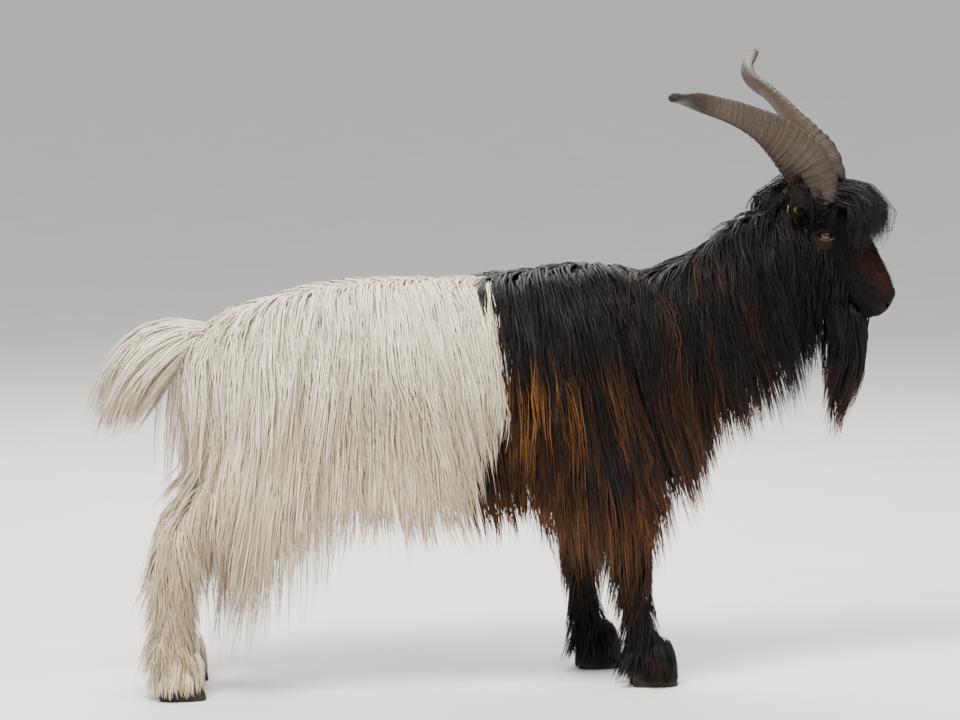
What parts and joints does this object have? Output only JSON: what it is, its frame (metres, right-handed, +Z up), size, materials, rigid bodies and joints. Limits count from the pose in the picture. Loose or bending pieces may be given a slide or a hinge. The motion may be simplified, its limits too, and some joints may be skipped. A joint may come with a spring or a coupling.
{
  "type": "goat model",
  "caption": "Life-size standing Valais blackneck buck, black in front and white behind, with a long hanging coat, sweeping horns, beard and forelock.",
  "frame": {"origin": "on the ground under the middle of the bounding box", "axes": "+X the way the goat's body faces, +Y to its left, +Z up"},
  "size_m": [1.5718, 0.591, 1.2257],
  "materials": {
    "black_coat": "long glossy black hair",
    "white_coat": "long ivory hair",
    "horn": "ridged horn, satin",
    "hoof": "dark horn, satin",
    "eye": "wet, glossy",
    "tag": "plain yellow, satin"
  },
  "bodies": {
    "root": {"beard": "black_coat", "ear_left": "black_coat", "ear_right": "black_coat", "ear_tag": "tag", "eye_left": "eye", "eye_right": "eye", "fore_claw_left_inner": "hoof", "fore_claw_left_outer": "hoof", "fore_claw_right_inner": "hoof", "fore_claw_right_outer": "hoof", "fore_leg_left": "black_coat", "fore_leg_right": "black_coat", "head": "black_coat", "hind_claw_left_inner": "hoof", "hind_claw_left_outer": "hoof", "hind_claw_right_inner": "hoof", "hind_claw_right_outer": "hoof", "hind_leg_left": "white_coat", "hind_leg_right": "white_coat", "horn_left": "horn", "horn_right": "horn", "neck": "black_coat", "tail": "white_coat", "torso_fore_left": "black_coat", "torso_fore_right": "black_coat", "torso_rear_left": "white_coat", "torso_rear_right": "white_coat"}
  },
  "joints": []
}
